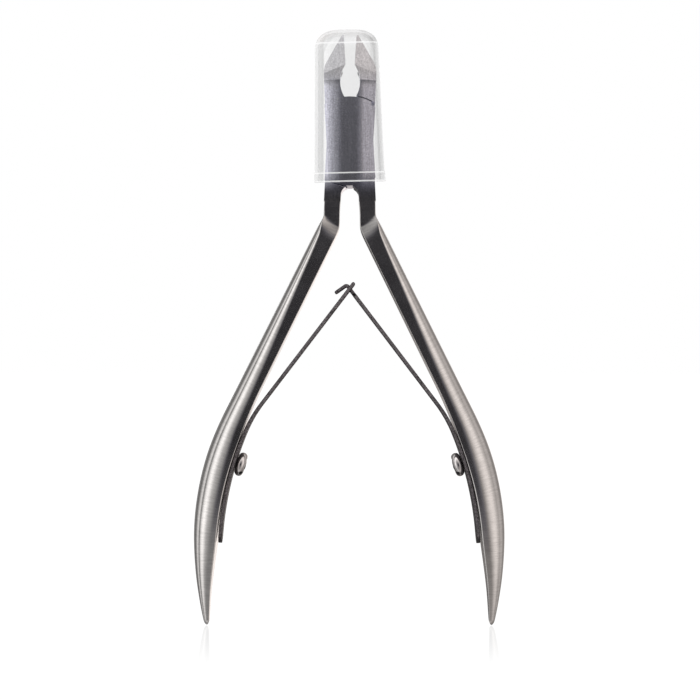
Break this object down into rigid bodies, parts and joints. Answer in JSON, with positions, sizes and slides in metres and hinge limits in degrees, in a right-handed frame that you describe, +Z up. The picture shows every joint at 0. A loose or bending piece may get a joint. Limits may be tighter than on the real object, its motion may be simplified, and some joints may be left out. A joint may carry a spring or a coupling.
{
  "type": "cuticle nippers",
  "caption": "Steel cuticle nippers with a lap joint, tapering curved handles, a hooked double leaf spring and a clear tip cap.",
  "frame": {"origin": "on the vertical line through the middle of the pivot, level with the ends of the handles", "axes": "+Z up from the handle ends to the jaw tips, +X to the right seen from the front, -Y out of the front lap plate; the pivot's axis is along Y"},
  "size_m": [0.0538, 0.0084, 0.1029],
  "materials": {
    "satin_steel": "satin, ground across the handles",
    "dark_steel": "satin",
    "spring_steel": "satin, darker than the handles",
    "bright_screw": "polished",
    "clear_plastic": "clear, glossy"
  },
  "bodies": {
    "right_handle": {"front_half": "satin_steel", "pivot_screw": "dark_steel", "right_spring_screw": "bright_screw"},
    "left_handle": {"back_half": "satin_steel", "left_spring_screw": "bright_screw"},
    "left_leaf": {"left_leaf_spring": "spring_steel"},
    "right_leaf": {"right_leaf_spring": "spring_steel"},
    "cap": {"tip_cap": "clear_plastic"}
  },
  "joints": [
    {"name": "pivot", "type": "hinge", "parent": "right_handle", "child": "left_handle", "pos_m": [0, 0, 0.08346], "axis": [0, -1, 0], "range_deg": [0, 6.6], "stiffness_Nm_per_rad": 1.2},
    {"name": "left_leaf_flex", "type": "hinge", "parent": "left_handle", "child": "left_leaf", "pos_m": [-0.01988, 0, 0.02818], "axis": [0, -1, 0], "range_deg": [-0.1, 2.8]},
    {"name": "right_leaf_flex", "type": "hinge", "parent": "right_handle", "child": "right_leaf", "pos_m": [0.01988, 0, 0.02818], "axis": [0, -1, 0], "range_deg": [-2.8, 0.1]},
    {"name": "cap_slide", "type": "slide", "parent": "right_handle", "child": "cap", "axis": [-0.0244, 0, 0.9997], "range_m": [0, 0.03]}
  ],
  "couplings": [
    {"joint": "left_leaf_flex", "follows": "pivot", "ratio": 0.4},
    {"joint": "right_leaf_flex", "follows": "pivot", "ratio": -0.4}
  ]
}
